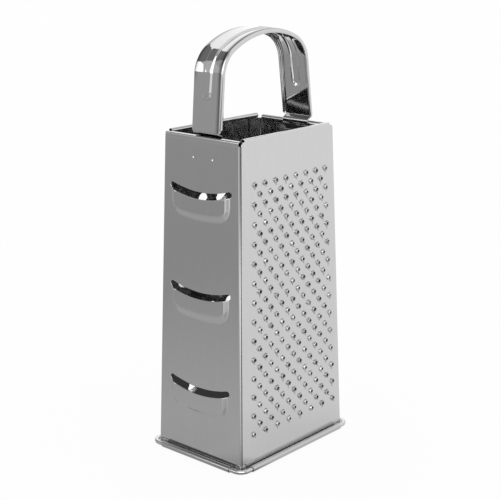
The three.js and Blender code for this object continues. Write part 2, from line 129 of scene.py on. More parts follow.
# Coarse shredding panel: round holes with a raised cutting lip under each
COARSE_ROWS, COARSE_LONG_ROW = 7, 4
COARSE_TOP, COARSE_BOTTOM, COARSE_PITCH, COARSE_SHIFT = 149.35, 25.27, 14.38, 0.93
SHRED_SIDES = 36
SHRED_BASE, SHRED_RIM, SHRED_LIFT, SHRED_RISE = 4.7, 3.4, 2.0, 0.1
SHRED_SHARES = (0.15, 0.4, 0.7, 0.9, 1.0)
# How the lip is shaped, how much it is darkened towards its edge, and its share of the sheet's thickness
# there
SHRED_LIP_POWER, SHRED_DARKENING, SHRED_EDGE = 0.8, 0.1, 0.6

# Zesting panel: small square burrs with four points
ZEST_ROWS, ZEST_LONG_ROW = 12, 6
ZEST_TOP, ZEST_BOTTOM, ZEST_PITCH = 143.0, 23.0, 7.6
ZEST_SIDES = 24
# Each ring of a burr: its radius and its lift
ZEST_PROFILE = ((1.5, 0.05), (1.25, 0.25), (1.0, 0.6), (0.75, 1.0))
ZEST_COLLAR = 1.8
# How far a burr may be turned, in degrees, and how its points spread and stand above its valleys
ZEST_TURN, ZEST_SPREAD, ZEST_VALLEY, ZEST_POINT = 8, 0.12, 0.55, 0.6
# How much a burr is darkened towards its points, and its share of the sheet's thickness there
ZEST_DARKENING, ZEST_EDGE = 0.4, 0.45
ZEST_SEED = 11

# Slicing panel: three crescent slots, each with a blade raised on a pressed pocket
SLOT_LEVELS = (141.2, 89.7, 38.8)
SLOT_HALF, SLOT_SAG, SLOT_GAP, SLOT_END_RADIUS = 20.9, 3.3, 3.1, 1.5
SLOT_RIM_WIDTH, SLOT_RIM_RISE = 0.24, 0.06
SLOT_END_STEPS, SLOT_END_MARGIN = 12, 0.05
BLADE_EDGE = 0.35
POCKET_HALF, POCKET_DEPTH, POCKET_SAG, POCKET_CORNER = 20.2, 14.9, 2.2, 7.0
BLADE_LIFT, FLANK_RAMP, FOOT_RAMP = 1.6, 3.0, 4.6
POCKET_COLUMNS, POCKET_ROWS = 48, 20

# Strap handle: a channel with a stiffening rib, bent to an arch, with a tongue inside each narrow panel
# The arch is bent by hand, so its crown lies a little to the rear and its two legs lean differently
HANDLE_TOP, HANDLE_SHIFT = 219.4, 2.75
STRAP_HALF, STRAP_SHEET, STRAP_DEPTH, STRAP_BEND = 9.55, 0.7, 2.25, 1.2
CROWN_RADIUS, CROWN_SHIFT, SHOULDER_RADIUS = 52.7, 1.25, 17.0
FRONT_CROWN_ANGLE, FRONT_LEG_LEAN = 30.8, 4.6
REAR_CROWN_ANGLE, REAR_LEG_LEAN = 23.5, 7.2
RIB_HALF, RIB_FLAT, RIB_HEIGHT, RIB_END = 3.1, 2.1, 0.8, 186.6
WEB_DISH, WEB_DISH_RUN = 0.45, 14.0
# Painted shade across a bend, from the flange to the web, and on the web beside it, heavier up the arch
BEND_SHADES = (0.0, 0.0, 0.0, 0.0, 0.1, 0.35, 0.6, 0.75, 0.75)
WEB_EDGE_SHADE, ARCH_START, ARCH_RUN, ARCH_EDGE = 0.3, 192.0, 14.0, 1.3
# Folded feet, and the tongues below them
FOLD_LEVEL, FOOT_TAPER = 170.9, 1.1
JOG_REACH, JOG_TOP, JOG_BOTTOM = 33.1, 169.4, 167.0
# Painted shade in the fold of each foot, and how quickly it fades at the fold
FRONT_JOG_SHADE, REAR_JOG_SHADE, JOG_FADE = 0.4, 0.2, 0.3
TONGUE_TOP, TONGUE_BOTTOM, TONGUE_HALF, TONGUE_TIP = 163.6, 152.0, 8.3, 2.0
# Spot welds that hold the tongues
WELD_SHIFT, WELD_SPACING, WELD_LEVEL = 1.55, 13.0, 158.9
# Size and depth of each weld's dimple, and its painted shade on one side
WELD_RADIUS, WELD_DEPTH, WELD_SHADE = 1.4, 0.3, 0.35
WELD_SIDES, WELD_SHARES = 24, (0.9, 0.75, 0.55, 0.35, 0.15)
# Fineness of the strap's mesh, along its line and across its section
FOLD_REACH, FOLD_STEPS, SHOULDER_STEPS, CROWN_STEPS, STRAP_STEP = 0.8, 6, 28, 16, 0.9
WEB_COLUMNS, RIB_RAMP_COLUMNS, RIB_FLAT_COLUMNS = 5, 6, 3

# Meshes: points this close are one, and edges bent by more degrees than this stay sharp
MERGE_REACH, SHARP_ANGLE = 0.004, 38.0
# Triangulation of flats: the kind of faces that it gives, and how close two points count as one
INSIDE_FACES, SAME_POINT = 1, 1e-7

# Steel: the rolled grain, smears and slow waves in the sheet, and how much each shows
GRAIN_NOISE = {"scale": 900.0, "detail": 4.0, "roughness": 0.6}
SMEAR_NOISE = {"scale": 38.0, "stretch": (1, 1, 0.6), "detail": 5.0, "roughness": 0.55}
WAVE_NOISE = {"scale": 26.0, "stretch": (1, 1, 0.7), "detail": 2.0, "roughness": 0.4}
GRAIN_CONTRAST, GRAIN_BUMP, GRAIN_HEIGHT, WAVE_HEIGHT = 0.015, 0.02, 0.02, 1.0
SMEAR_LEAST, SMEAR_MOST = 0.8, 1.25
# How dark a fully darkened point is; most darkening is painted shade
DARKENING_TONE = 0.08
# Stretch of the grain: upright on the panels, along the strap and along the wire
PANEL_GRAIN, STRAP_GRAIN, WIRE_GRAIN = (1.0, 1.0, 0.03), (1.0, 0.05, 0.05), (0.2, 0.2, 1.0)

# Camera of the photograph: angles in degrees, lengths in millimetres
VIEW_AZIMUTH, VIEW_ELEVATION, VIEW_ROLL = 41.697, 15.395, -0.296
VIEW_DISTANCE, VIEW_LEVEL, VIEW_ASIDE = 641.519, 103.929, -0.436
VIEW_LENS, SENSOR_WIDTH, VIEW_NEAREST = 88.1, 36.0, 10.0

# Studio cards: distances in metres, and the floor's radiance by degrees round from -Y towards +X
FAR_CARDS, NEAR_CARDS = 1.5, 1.3
FLOOR_CARD_HEIGHT = 0.0006
# Where the rings next to the foot are darker, they are a painted shadow of the object on the floor, as the
# metal sees it
FLOOR_RINGS = (0.03, 0.045, 0.1, 0.45, 0.9, 3.5)
FLOOR_GLOW = {
    -195: (0.76, 0.76, 0.88, 0.91, 0.95, 0.96),
    -130: (1.0, 1.0, 1.0, 1.0, 1.0, 1.0),
    -100: (0.35, 0.35, 0.5, 0.65, 0.7, 0.7),
    -62: (0.48, 0.48, 0.5, 0.375, 0.385, 0.385),
    -22: (0.48, 0.48, 0.51, 0.385, 0.385, 0.385),
    -10: (0.48, 0.48, 0.52, 0.4, 0.4, 0.4),
    0: (0.5, 0.5, 0.55, 1.0, 1.0, 1.0),
    20: (0.4, 0.4, 0.5, 0.7, 0.8, 0.8),
    36: (0.25, 0.25, 0.4, 0.7, 0.5, 0.3),
    46: (0.4, 0.4, 0.5, 0.8, 0.5, 0.25),
    60: (0.76, 0.76, 0.85, 1.4, 0.5, 0.25),
    95: (0.76, 0.76, 0.88, 1.4, 0.4, 0.25),
    115: (0.76, 0.76, 0.88, 0.91, 0.95, 0.96),
    165: (0.76, 0.76, 0.88, 0.91, 0.95, 0.96),
}
# A dark sheet on the floor inside the body, seen by the camera too: painted shade of the interior
INSIDE_CARD_HEIGHT, INSIDE_SHADE_GLOW = 0.0012, 0.05
# Upright cards: distance, degrees from end to end, heights and radiance
CARD_STEP = 10
UPRIGHT_CARDS = {
    "front_wall": (FAR_CARDS, (-100, -5), (0.02, 0.41), 0.43),
    "front_softbox": (FAR_CARDS, (-42, -15), (0.41, 1.17), 1.9),
    "front_fill": (FAR_CARDS, (-56, -42), (0.41, 1.17), 0.6),
    "front_shade": (FAR_CARDS, (-96, -56), (0.41, 1.17), 0.45),
    "front_flag": (FAR_CARDS, (-96, -15), (1.17, 4.0), 0.2),
    "left_softbox": (FAR_CARDS, (-165, -96), (0.24, 2.0), 1.25),
    "back_horizon": (FAR_CARDS, (-180, -96), (0.12, 0.24), 0.25),
    "left_flag": (FAR_CARDS, (-140, -96), (2.0, 4.0), 0.2),
    "camera_flag": (FAR_CARDS, (20, 95), (0.5, 2.4), 0.35),
    "camera_softbox": (NEAR_CARDS, (20, 75), (0.35, 1.4), 2.5),
}

# Floor: its reach in metres, its tone, and the share of white in what the camera and the metal see of it
FLOOR_REACH, FLOOR_TONE, FLOOR_WHITE = 4.0, 0.9, 0.92


def mix(start, end, share):
    """The value a share of the way from start to end."""
    return start + (end - start) * share


def smooth(value):
    """An eased step from 0 to 1."""
    t = min(max(value, 0.0), 1.0)
    return t * t * (3 - 2 * t)


def polar(radius, degrees):
    """A point by its distance and its angle, as (across, up)."""
    angle = math.radians(degrees)
    return radius * math.cos(angle), radius * math.sin(angle)


def half_x(z):
    """Distance from the body's middle to the outer face of a wide panel at height z."""
    return mix(BASE_HALF_X, TOP_HALF_X, z / BODY_HEIGHT)


def half_y(z):
    """Distance from the body's middle to the outer face of a narrow panel at height z."""
    return mix(BASE_HALF_Y, TOP_HALF_Y, z / BODY_HEIGHT)


class Surface:
    """Outer faces of one piece, gathered before they become a mesh.

    Each point has a darkening, from 0 none to 1 dark, and a share of the sheet's thickness. Most darkening
    is painted shade, in creases, folds, bends and round burrs.
    Level faces are shaded flat.
    """

    def __init__(self):
        self.points = []
        self.darkenings = []
        self.shares = []
        self.faces = []
        self.level_faces = []

    def line(self, points, darkenings=0.0, share=1.0):
        """Adds points and gives their numbers."""
        first = len(self.points)
        self.points.extend(points)
        self.darkenings.extend(darkenings if isinstance(darkenings, list) else [darkenings] * len(points))
        self.shares.extend([share] * len(points))
        return list(range(first, len(self.points)))

    def join(self, below, above, closed=False):
        """Quads between two lines of point numbers of the same length."""
        count = len(below)
        for i in range(count if closed else count - 1):
            j = (i + 1) % count
            self.faces.append((below[i], below[j], above[j], above[i]))

    def grid(self, lines, closed=False, darkenings=None):
        """Quads between neighbouring lines of points, with a darkening for each line."""
        numbers = [self.line(points, darkening) for points, darkening in zip(lines, darkenings or [0.0] * len(lines))]
        for below, above in zip(numbers, numbers[1:]):
            self.join(below, above, closed)

    def flat(self, outline, holes, place):
        """Triangles of a flat outline with holes, put on the panel by place(across, height)."""
        loops = [outline, *holes]
        corners = [Vector(point) for loop in loops for point in loop]
        owners = [number for number, loop in enumerate(loops) for _ in loop]
        edges = []
        for loop in loops:
            first = len(edges)
            edges.extend((first + i, first + (i + 1) % len(loop)) for i in range(len(loop)))
        found, _, triangles, origins, *_ = delaunay_2d_cdt(corners, edges, [], INSIDE_FACES, SAME_POINT)
        numbers = self.line([place(*point) for point in found])
        for triangle in triangles:
            loop_numbers = {owners[origins[i][0]] for i in triangle}
            centre = sum((found[i] for i in triangle), Vector((0, 0))) / 3
            in_one_hole = len(loop_numbers) == 1 and 0 not in loop_numbers
            if in_one_hole and inside(loops[loop_numbers.pop()], centre):
                continue
            self.level_faces.append(tuple(numbers[i] for i in triangle))


def inside(loop, point):
    """Whether a point lies in a closed outline."""
    odd = False
    for (ax, ay), (bx, by) in zip(loop, loop[1:] + loop[:1]):
        if (ay > point.y) != (by > point.y) and point.x < ax + (bx - ax) * (point.y - ay) / (by - ay):
            odd = not odd
    return odd


def staggered_rows(rows, long_row, top, bottom, pitch_top, pitch_bottom, shift=0.0, first_short=0):
    """Centres of punches: long rows and rows one shorter take turns."""
    centres = []
    for row in range(rows):
        share = row / (rows - 1)
        count = long_row - (row + first_short) % 2
        pitch = mix(pitch_top, pitch_bottom, share)
        level = mix(top, bottom, share)
        centres.extend((shift + (i - (count - 1) / 2) * pitch, level) for i in range(count))
    return centres


def squared(share, power):
    """A sine or cosine changed so that its circle is squarer, for a power below 1."""
    return math.copysign(abs(share) ** power, share)


def top_curl(surface, reach, top, radius, start, half, rim):
    """Top edge rolled inwards on itself, from the flat sheet at height start."""
    rim_darkening, power = rim
    level = top - radius
    centre = reach(level) - radius
    profile = [(reach(start), start)]
    darkenings = [0.0]
    for i in range(CURL_STEPS + 1):
        angle = CURL_SWEEP * i / CURL_STEPS
        out, rise = polar(1, angle)
        profile.append((centre + radius * squared(out, power), level + radius * squared(rise, power)))
        # The roll is darkened over its top and inner side
        darkened = smooth((angle - RIM_DARKENING_START) / RIM_DARKENING_RISE)
        darkened *= smooth((RIM_DARKENING_END - angle) / RIM_DARKENING_FALL)
        darkenings.append(rim_darkening * darkened)
    surface.grid([[(q, a, z) for a in (-half, half)] for q, z in profile], darkenings=darkenings)


def base_hem(surface, reach, top, half, flare_shade, crease_start):
    """Base edge: the sheet runs down behind the wire, turns out and is rolled over and under it."""
    lip = reach(top)
    profile = []
    darkenings = []
    for out, down, darkened in FLARE_TURN:
        profile.append((lip + FLARE_FILLET * out, top - FLARE_FILLET * down))
        darkenings.append(flare_shade * darkened)
    centre = reach(0) + WIRE_OFFSET
    for i in range(HEM_STEPS + 1):
        angle = mix(HEM_START, HEM_END, i / HEM_STEPS)
        out, rise = polar(HEM_RADIUS, angle)
        profile.append((centre + out, HEM_LEVEL + rise))
        # Painted shade in the crease above the roll, over the roll itself, and under it
        crease = flare_shade * smooth((angle - crease_start) / CREASE_RUN)
        under = UNDER_SHADE * smooth((UNDER_START - angle) / UNDER_RUN)
        darkenings.append(max(ROLL_SHADE, crease, under))
    lines = [[(q, a, z) for a in (-half, half)] for q, z in reversed(profile)]
    surface.grid(lines, darkenings=darkenings[::-1])


def burr(surface, place, a, z, rng):
    """A round burr punched outwards, uneven at its rim, with painted shade round it and a dark tail painted
    below it.
    """
    turn = rng.uniform(0, 360)
    ragged = [rng.uniform(-1, 1) for _ in range(BURR_SIDES)]
    tail_angle = rng.uniform(*TAIL_ANGLES)
    tail_reach = TAIL_REACH * rng.uniform(*TAIL_SPREAD)
    bore = rng.uniform(*BORE_SPREAD)
    lean_across, lean_up = polar(rng.uniform(0, LEAN_REACH), rng.uniform(0, 360))
    angles = [turn + 360 * i / BURR_SIDES for i in range(BURR_SIDES)]
    tails = [max(0.0, math.cos(math.radians(angle - tail_angle))) ** TAIL_POWER for angle in angles]
    collar = []
    for angle, tail in zip(angles, tails):
        across, up = polar(BURR_COLLAR + tail_reach * tail, angle)
        collar.append((a + across, z + up))
    below = surface.line([place(*point) for point in collar])
    for number, (radius, lift, darkening, share) in enumerate(BURR_PROFILE):
        height = lift / BURR_HEIGHT
        opened = radius * mix(1, bore, height**3)
        ring = []
        darkenings = []
        for angle, rough, tail in zip(angles, ragged, tails):
            tail_stretch = tail_reach * tail if number == 0 else 0.0
            across, up = polar(opened * (1 + RAGGED_RADIUS * rough * height) + tail_stretch, angle)
            raised = lift * (1 + RAGGED_LIFT * rough * height**3)
            ring.append(place(a + across + lean_across * height, z + up + lean_up * height, raised))
            # Painted shade, heavier on one side of the burr, and a dark tail painted below it
            side_shade = SIDE_SHADE * math.cos(math.radians(angle - SIDE_SHADE_ANGLE))
            ring_shade = darkening * (1 + RAGGED_SHADE * rough + side_shade)
            darkenings.append(max(ring_shade, TAIL_DARKENING * tail * (1 - height)))
        above = surface.line(ring, darkenings, share)
        surface.join(below, above, closed=True)
        below = above
    return collar


def shredder(surface, place, a, z):
    """A shredding hole: its lower rim is raised into a lip whose edge faces up the panel."""
    angles = [360 * i / SHRED_SIDES for i in range(SHRED_SIDES)]
    base = [(a + across, z + up) for across, up in (polar(SHRED_BASE, angle) for angle in angles)]
    below = surface.line([place(*point) for point in base])
    for share in SHRED_SHARES:
        ring = []
        for angle in angles:
            across, up = polar(mix(SHRED_BASE, SHRED_RIM, share), angle)
            drop = max(0.0, -math.sin(math.radians(angle))) ** SHRED_LIP_POWER
            lift = SHRED_LIFT * drop * smooth(share)
            ring.append(place(a + across, z + up + SHRED_RISE * share * (1 + drop), lift))
        above = surface.line(ring, SHRED_DARKENING * share, mix(1.0, SHRED_EDGE, share))
        surface.join(below, above, closed=True)
        below = above
    return base


def zester(surface, place, a, z, rng):
    """A square burr torn open into four points."""
    turn = rng.uniform(-ZEST_TURN, ZEST_TURN)
    angles = [360 * i / ZEST_SIDES for i in range(ZEST_SIDES)]
    collar = [(a + across, z + up) for across, up in (polar(ZEST_COLLAR, angle + turn) for angle in angles)]
    below = surface.line([place(*point) for point in collar])
    for radius, lift in ZEST_PROFILE:
        share = lift / ZEST_PROFILE[-1][1]
        ring = []
        for angle in angles:
            point = abs(math.cos(math.radians(2 * angle)))
            across, up = polar(radius * (1 + ZEST_SPREAD * point * share), angle + turn)
            torn = mix(1, ZEST_VALLEY + ZEST_POINT * point**2, share)
            ring.append(place(a + across, z + up, lift * torn))
        above = surface.line(ring, ZEST_DARKENING * smooth(2 * share), mix(1.0, ZEST_EDGE, share))
        surface.join(below, above, closed=True)
        below = above
    return collar


def wide_outline():
    """Flat sheet of a wide panel, with relief notches at its base hem and round top corners."""
    side = half_y(CORNER_TOP) - LAP_SETBACK
    corner = []
    for i in range(CORNER_STEPS + 1):
        across, up = polar(1, 90 * i / CORNER_STEPS)
        a = mix(WIDE_CURL_HALF, side, across)
        corner.append((a, mix(CORNER_TOP, BODY_HEIGHT - WIDE_CURL_RADIUS, up)))
    half = [
        (WIDE_HEM_HALF, WIDE_FLARE_TOP),
        (WIDE_HEM_HALF, WIDE_FLARE_TOP + NOTCH_HEIGHT),
        (WIDE_HEM_HALF + NOTCH_WIDTH, WIDE_FLARE_TOP + NOTCH_HEIGHT),
        (WIDE_HEM_HALF + NOTCH_WIDTH, CORNER_BOTTOM),
        (half_y(CORNER_BOTTOM) - LAP_SETBACK, CORNER_BOTTOM),
        *corner,
    ]
    return half + [(-a, z) for a, z in reversed(half)]


def wide_place(a, z, lift=0.0):
    """A point of a wide panel, lifted off its outer face."""
    return half_x(z) + lift, a, z


def narrow_place(a, z, lift=0.0):
    """A point of a narrow panel, lifted off its outer face."""
    return half_y(z) + lift, a, z


def wide_panel(surface, holes, rim):
    """Flat sheet with its punches, rolled at the top and hemmed at the base."""
    surface.flat(wide_outline(), holes, wide_place)
    start = BODY_HEIGHT - WIDE_CURL_RADIUS
    top_curl(surface, half_x, BODY_HEIGHT, WIDE_CURL_RADIUS, start, WIDE_CURL_HALF, rim)
    base_hem(surface, half_x, WIDE_FLARE_TOP, WIDE_HEM_HALF, WIDE_FLARE_SHADE, WIDE_CREASE)


def bend_line(z, side):
    """Plan line of a narrow panel's bend and flange at height z, listed towards +across."""
    face = half_y(z)
    edge = half_x(z) - SHEET - SEAM_GAP
    points = [(face, side * bend_start(z), z)]
    for i in range(BEND_STEPS + 1):
        out, across = polar(BEND_RADIUS, 90 * i / BEND_STEPS)
        points.append((face - BEND_RADIUS + out, side * (edge - BEND_RADIUS + across), z))
    points.append((face - FLANGE_LENGTH, side * edge, z))
    return points if side > 0 else points[::-1]


def bend_start(z):
    """Distance from the middle of a narrow panel to where its flat face gives way to a bend."""
    return half_x(z) - SHEET - SEAM_GAP - BEND_RADIUS - BEND_MARGIN


def narrow_outline():
    """Flat face of a narrow panel, between its bends."""
    half = [
        (NARROW_HEM_HALF, NARROW_FLARE_TOP),
        (NARROW_HEM_HALF, NARROW_FLARE_TOP + NOTCH_HEIGHT),
        (NARROW_HEM_HALF + NOTCH_WIDTH, NARROW_FLARE_TOP + NOTCH_HEIGHT),
        (NARROW_HEM_HALF + NOTCH_WIDTH, CORNER_BOTTOM),
        (bend_start(CORNER_BOTTOM), CORNER_BOTTOM),
        (bend_start(CORNER_TOP), CORNER_TOP),
    ]
    return half + [(-a, z) for a, z in reversed(half)]


def weld(surface, place, a, z):
    """Dimple of a spot weld that holds the handle's tongue behind the panel, with painted shade on one side
    of it.
    """
    angles = [360 * i / WELD_SIDES for i in range(WELD_SIDES)]
    base = [(a + across, z + up) for across, up in (polar(WELD_RADIUS, angle) for angle in angles)]
    below = surface.line([place(*point) for point in base])
    for share in WELD_SHARES:
        ring = []
        darkenings = []
        depth = 1 - smooth(share)
        for angle in angles:
            across, up = polar(WELD_RADIUS * share, angle)
            ring.append(place(a + across, z + up, -WELD_DEPTH * depth))
            # Painted shade on one side of the dimple
            darkenings.append(WELD_SHADE * share * max(0.0, math.cos(math.radians(angle))))
        above = surface.line(ring, darkenings, 1 - depth * WELD_DEPTH / SHEET)
        surface.join(below, above, closed=True)
        below = above
    surface.faces.append(tuple(below))
    return base


def narrow_panel(surface, holes, handle_side, curl_half, rim):
    """As a wide panel, with a bend and a flange at each side and the welds of one tongue of the handle."""
    spots = []
    for share in (-0.5, 0.5):
        a = handle_side * WELD_SHIFT + share * WELD_SPACING
        spots.append(weld(surface, narrow_place, a, WELD_LEVEL))
    surface.flat(narrow_outline(), [*holes, *spots], narrow_place)
    for side in (-1, 1):
        surface.grid([bend_line(CORNER_BOTTOM, side), bend_line(CORNER_TOP, side)])
    top = BODY_HEIGHT - NARROW_DROP
    top_curl(surface, half_y, top, NARROW_CURL_RADIUS, CORNER_TOP, curl_half, rim)
    base_hem(surface, half_y, NARROW_FLARE_TOP, NARROW_HEM_HALF, NARROW_FLARE_SHADE, NARROW_CREASE)


def slot_upper(a):
    """Height of a slot's upper edge above the slot's level."""
    return SLOT_SAG * (a / POCKET_HALF) ** 2


def blade_edge(a):
    """Height of the blade's edge above the slot's level."""
    return slot_upper(a) - SLOT_GAP


def pocket_foot(a):
    """Height of the pocket's foot, with its round corners, above the slot's level."""
    into = max(0.0, abs(a) - (POCKET_HALF - POCKET_CORNER))
    corner = POCKET_CORNER - math.sqrt(max(0.0, POCKET_CORNER**2 - into**2))
    return POCKET_SAG * (a / POCKET_HALF) ** 2 - POCKET_DEPTH + corner


def slot_rim(level):
    """Upper edge of a slot, from its right end over the top to its left end."""
    half = SLOT_HALF - SLOT_END_RADIUS
    blade = level + blade_edge(POCKET_HALF)
    right_end = []
    for i in range(1, SLOT_END_STEPS):
        out, rise = polar(SLOT_END_RADIUS, mix(-90, 90, i / SLOT_END_STEPS))
        a, z = half + out, level + slot_upper(half) - SLOT_END_RADIUS + rise
        if z > blade + SLOT_END_MARGIN and a > POCKET_HALF:
            right_end.append((a, z))
    upper = []
    for i in range(POCKET_COLUMNS + 1):
        a = mix(half, -half, i / POCKET_COLUMNS)
        upper.append((a, level + slot_upper(a)))
    left_end = [(-a, z) for a, z in reversed(right_end)]
    return [(POCKET_HALF, blade), *right_end, *upper, *left_end, (-POCKET_HALF, blade)]


def slot_collar(surface, level):
    """Raises the upper edge of a slot a little, and gives the line from which it rises."""
    rim = slot_rim(level)
    collar = [rim[0]]
    for before, (a, z), after in zip(rim, rim[1:], rim[2:]):
        along = Vector((after[0] - before[0], after[1] - before[1])).normalized()
        collar.append((a + along.y * SLOT_RIM_WIDTH, z - along.x * SLOT_RIM_WIDTH))
    collar.append(rim[-1])
    rises = [0.0] + [SLOT_RIM_RISE] * (len(rim) - 2) + [0.0]
    outer = [narrow_place(*point) for point in collar]
    surface.grid([outer, [narrow_place(a, z, rise) for (a, z), rise in zip(rim, rises)]])
    return collar


def slot(surface, level):
    """A slot and the pocket pressed out under it, as a grid that meets the hole left in the flat face."""
    columns = []
    for i in range(POCKET_COLUMNS + 1):
        columns.append(POCKET_HALF * math.sin(math.pi / 2 * mix(-1, 1, i / POCKET_COLUMNS)))
    numbers = []
    left = []
    right = []
    for row in range(POCKET_ROWS + 1):
        share = row / POCKET_ROWS
        points = []
        for a in columns:
            foot = pocket_foot(a)
            z = mix(foot, blade_edge(a), share)
            rise = smooth((POCKET_HALF - abs(a)) / FLANK_RAMP) * smooth((z - foot) / FOOT_RAMP)
            points.append(narrow_place(a, level + z, BLADE_LIFT * rise))
        numbers.append(surface.line(points, share=BLADE_EDGE if row == POCKET_ROWS else 1.0))
        left.append((columns[0], points[0][2]))
        right.append((columns[-1], points[-1][2]))
    for below, above in zip(numbers, numbers[1:]):
        surface.join(below, above)
    foot_line = [(a, level + pocket_foot(a)) for a in columns]
    return foot_line + right[1:-1] + slot_collar(surface, level) + left[-2:0:-1]


def fine_panel():
    """Wide panel with round burrs."""
    surface = Surface()
    rng = random.Random(FINE_SEED)
    pitches = FINE_PITCH_TOP, FINE_PITCH_BOTTOM
    centres = staggered_rows(FINE_ROWS, FINE_LONG_ROW, FINE_TOP, FINE_BOTTOM, *pitches, FINE_SHIFT)
    burrs = [burr(surface, wide_place, a, z, rng) for a, z in centres]
    wide_panel(surface, burrs, FRONT_RIM)
    return surface


def coarse_panel():
    """Wide panel with shredding holes."""
    surface = Surface()
    rows = COARSE_ROWS, COARSE_LONG_ROW, COARSE_TOP, COARSE_BOTTOM
    centres = staggered_rows(*rows, COARSE_PITCH, COARSE_PITCH, COARSE_SHIFT, first_short=1)
    holes = [shredder(surface, wide_place, a, z) for a, z in centres]
    wide_panel(surface, holes, REAR_RIM)
    return surface


def slicing_panel():
    """Narrow panel with three slots."""
    surface = Surface()
    slots = [slot(surface, level) for level in SLOT_LEVELS]
    narrow_panel(surface, slots, 1, SLICING_CURL_HALF, FRONT_RIM)
    return surface


def zesting_panel():
    """Narrow panel with square burrs."""
    surface = Surface()
    rng = random.Random(ZEST_SEED)
    centres = staggered_rows(ZEST_ROWS, ZEST_LONG_ROW, ZEST_TOP, ZEST_BOTTOM, ZEST_PITCH, ZEST_PITCH)
    burrs = [zester(surface, narrow_place, a, z, rng) for a, z in centres]
    narrow_panel(surface, burrs, -1, ZESTING_CURL_HALF, REAR_RIM)
    return surface


def base_wire():
    """Closed wire ring, a rounded rectangle in plan."""
    surface = Surface()
    centre_x = half_x(0) + WIRE_OFFSET - WIRE_CORNER_RADIUS
    centre_y = half_y(0) + WIRE_OFFSET - WIRE_CORNER_RADIUS
    loops = []
    for corner, (sign_x, sign_y) in enumerate(((1, 1), (-1, 1), (-1, -1), (1, -1))):
        for i in range(WIRE_CORNER_STEPS + 1):
            out_x, out_y = polar(1, 90 * (corner + i / WIRE_CORNER_STEPS))
            loop = []
            for side in range(WIRE_SIDES):
                out, rise = polar(WIRE_RADIUS, -360 * side / WIRE_SIDES)
                spread = WIRE_CORNER_RADIUS + out
                x = sign_x * centre_x + spread * out_x
                y = sign_y * centre_y + spread * out_y
                loop.append((x, y, HEM_LEVEL + rise))
            loops.append(loop)
    surface.grid(loops + loops[:1], closed=True)
    return surface


def rounded(points, reach):
    """A line of points whose corners are replaced by short curves that start reach away from them."""
    line = [points[0]]
    for before, corner, after in zip(points, points[1:], points[2:]):
        into = corner + (before - corner).normalized() * min(reach, (before - corner).length / 2)
        away = corner + (after - corner).normalized() * min(reach, (after - corner).length / 2)
        for i in range(FOLD_STEPS + 1):
            share = i / FOLD_STEPS
            line.append(into.lerp(corner, share).lerp(corner.lerp(away, share), share))
    return line + [points[-1]]


def resampled(points, step):
    """The same line with points no more than step apart."""
    line = [points[0]]
    for start, end in zip(points, points[1:]):
        count = max(1, math.ceil((end - start).length / step))
        line.extend(start.lerp(end, i / count) for i in range(1, count + 1))
    return line


def tongue_reach(z):
    """Distance from the body's middle to the outer face of a tongue, just inside its narrow panel."""
    return half_y(z) - SHEET - SEAM_GAP


def handle_half(side, crown_angle, leg_lean):
    """One side of the strap's outer line, from its tongue's tip up to the crown, as (reach, height)."""
    crown = Vector((side * CROWN_SHIFT, HANDLE_TOP - CROWN_RADIUS))
    up, out = polar(CROWN_RADIUS - SHOULDER_RADIUS, crown_angle)
    shoulder = crown + Vector((out, up))
    leg_top = shoulder + Vector(polar(SHOULDER_RADIUS, leg_lean))
    fold_reach = leg_top.x + (leg_top.y - FOLD_LEVEL) * math.tan(math.radians(leg_lean))
    folds = [
        Vector((tongue_reach(TONGUE_BOTTOM), TONGUE_BOTTOM)),
        Vector((tongue_reach(TONGUE_TOP), TONGUE_TOP)),
        Vector((JOG_REACH, JOG_BOTTOM)),
        Vector((JOG_REACH, JOG_TOP)),
        Vector((fold_reach, FOLD_LEVEL)),
        leg_top,
    ]
    line = rounded(folds, FOLD_REACH)
    for i in range(1, SHOULDER_STEPS + 1):
        angle = mix(leg_lean, 90 - crown_angle, i / SHOULDER_STEPS)
        line.append(shoulder + Vector(polar(SHOULDER_RADIUS, angle)))
    for i in range(1, CROWN_STEPS + 1):
        rise, across = polar(CROWN_RADIUS, crown_angle * (1 - i / CROWN_STEPS))
        line.append(crown + Vector((across, rise)))
    return resampled(line, STRAP_STEP)


def strap_columns():
    """Channel section from one flange's edge to the other's, as (across, depth, painted shade)."""
    columns = [(-STRAP_HALF, -STRAP_DEPTH, 0.0), (-STRAP_HALF, mix(-STRAP_DEPTH, -STRAP_BEND, 0.5), 0.0)]
    web = STRAP_BEND - STRAP_HALF
    bend_step = 90 / (len(BEND_SHADES) - 1)
    for i, darkening in enumerate(BEND_SHADES):
        out, rise = polar(STRAP_BEND, 180 - bend_step * i)
        columns.append((web + out, rise - STRAP_BEND, darkening))
    for i in range(1, WEB_COLUMNS + 1):
        darkening = WEB_EDGE_SHADE if i == 1 else 0.0
        columns.append((mix(web, -RIB_HALF, i / WEB_COLUMNS), 0.0, darkening))
    for i in range(1, RIB_RAMP_COLUMNS + 1):
        columns.append((mix(-RIB_HALF, -RIB_FLAT, i / RIB_RAMP_COLUMNS), 0.0, 0.0))
    for i in range(1, RIB_FLAT_COLUMNS):
        columns.append((mix(-RIB_FLAT, 0, i / RIB_FLAT_COLUMNS), 0.0, 0.0))
    return columns + [(0.0, 0.0, 0.0)] + [(-x, depth, darkening) for x, depth, darkening in reversed(columns)]


def strap_line():
    """The strap's outer line, from the front tongue's tip over the crown to the rear tongue's tip."""
    front = handle_half(-1, FRONT_CROWN_ANGLE, FRONT_LEG_LEAN)
    rear = handle_half(1, REAR_CROWN_ANGLE, REAR_LEG_LEAN)
    return [Vector((-point.x, point.y)) for point in front] + rear[-2::-1]


